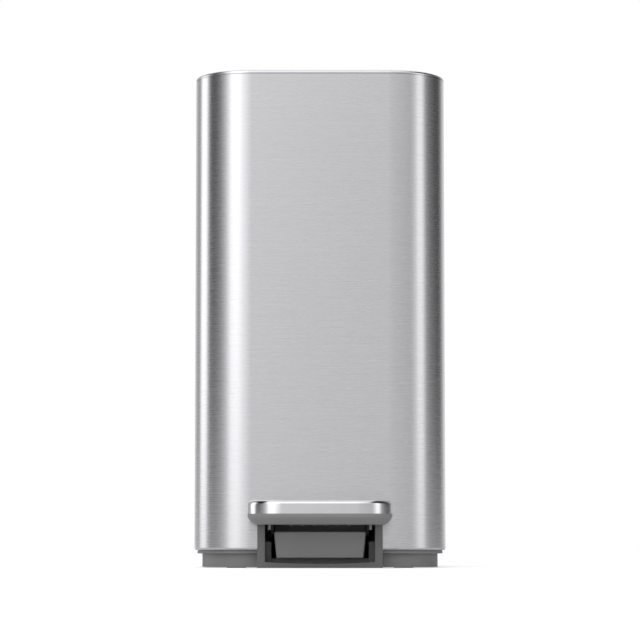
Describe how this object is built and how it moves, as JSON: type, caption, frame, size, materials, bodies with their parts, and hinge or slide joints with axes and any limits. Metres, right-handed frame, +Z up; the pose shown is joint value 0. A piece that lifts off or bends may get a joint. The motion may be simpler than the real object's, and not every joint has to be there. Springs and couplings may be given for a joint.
{
  "type": "pedal bin",
  "caption": "Slim rectangular kitchen pedal bin: brushed steel shell and hinged lid, plastic base, front pedal with push rod, damper and lift-out bucket.",
  "frame": {"origin": "on the floor, under the middle of the whole object's plan, pedal and hinge block included", "axes": "+Z up, -Y forwards to the pedal, +X to the right as seen by someone facing the bin's front"},
  "size_m": [0.254, 0.37, 0.4992],
  "materials": {
    "shell_steel": "brushed level, stainless",
    "lid_steel": "brushed level, stainless",
    "pedal_steel": "brushed level, stainless",
    "painted_steel": "black dip coat",
    "base_plastic": "moulded, fine grain",
    "frame_plastic": "moulded, fine grain",
    "guard_plastic": "moulded, fine grain",
    "tray_plastic": "moulded, fine grain",
    "collar_plastic": "moulded, fine grain",
    "hinge_plastic": "moulded, fine grain",
    "bucket_plastic": "moulded, satin",
    "nylon": "moulded, natural",
    "rubber": "matt",
    "zinc_steel": "zinc plated",
    "bright_steel": "drawn bright"
  },
  "bodies": {
    "can": {"body_shell": "shell_steel", "base": "base_plastic", "bottom_cover": "base_plastic", "rubber_feet": "rubber", "cover_screws": "zinc_steel", "pedal_frame": "frame_plastic", "mechanism_guard": "guard_plastic", "axle_bushes": "nylon", "collar": "collar_plastic", "lid_bumpers": "rubber", "rod_cover": "collar_plastic", "rod_guide": "nylon", "rod_bush": "nylon", "hinge_block": "hinge_plastic", "hinge_screws": "zinc_steel", "hinge_pin": "bright_steel", "damper_cylinder": "bright_steel", "damper_bracket": "nylon"},
    "bucket": {"bucket": "bucket_plastic"},
    "lid": {"lid_cover": "lid_steel", "lid_liner": "collar_plastic", "hinge_strap": "zinc_steel", "lid_crank": "zinc_steel", "crank_pin": "bright_steel", "crank_rivets": "zinc_steel"},
    "rod": {"push_rod": "bright_steel", "lower_yoke": "nylon", "upper_yoke": "nylon", "damper_bridge": "nylon", "damper_piston": "bright_steel"},
    "lever": {"pedal_plate": "pedal_steel", "pedal_tray": "tray_plastic", "pedal_screws": "zinc_steel", "lever_arm_right": "painted_steel", "lever_arm_left": "painted_steel", "cross_bar": "bright_steel", "pedal_axle": "bright_steel", "axle_clips": "zinc_steel"}
  },
  "joints": [
    {"name": "lid_open", "type": "hinge", "parent": "can", "child": "lid", "pos_m": [0, 0.178, 0.486], "axis": [-1, 0, 0], "range_deg": [0, 80]},
    {"name": "pedal_press", "type": "hinge", "parent": "can", "child": "lever", "pos_m": [0, -0.019, 0.034], "axis": [1, 0, 0], "range_deg": [0, 9.5]},
    {"name": "rod_lift", "type": "slide", "parent": "can", "child": "rod", "axis": [0, 0, 1], "range_m": [0, 0.02867]},
    {"name": "bucket_lift", "type": "slide", "parent": "can", "child": "bucket", "axis": [0, 0, 1], "range_m": [0, 0.008]}
  ],
  "couplings": [
    {"joint": "pedal_press", "follows": "lid_open", "ratio": 0.11875},
    {"joint": "rod_lift", "follows": "lid_open", "m_per_rad": 0.020531}
  ]
}
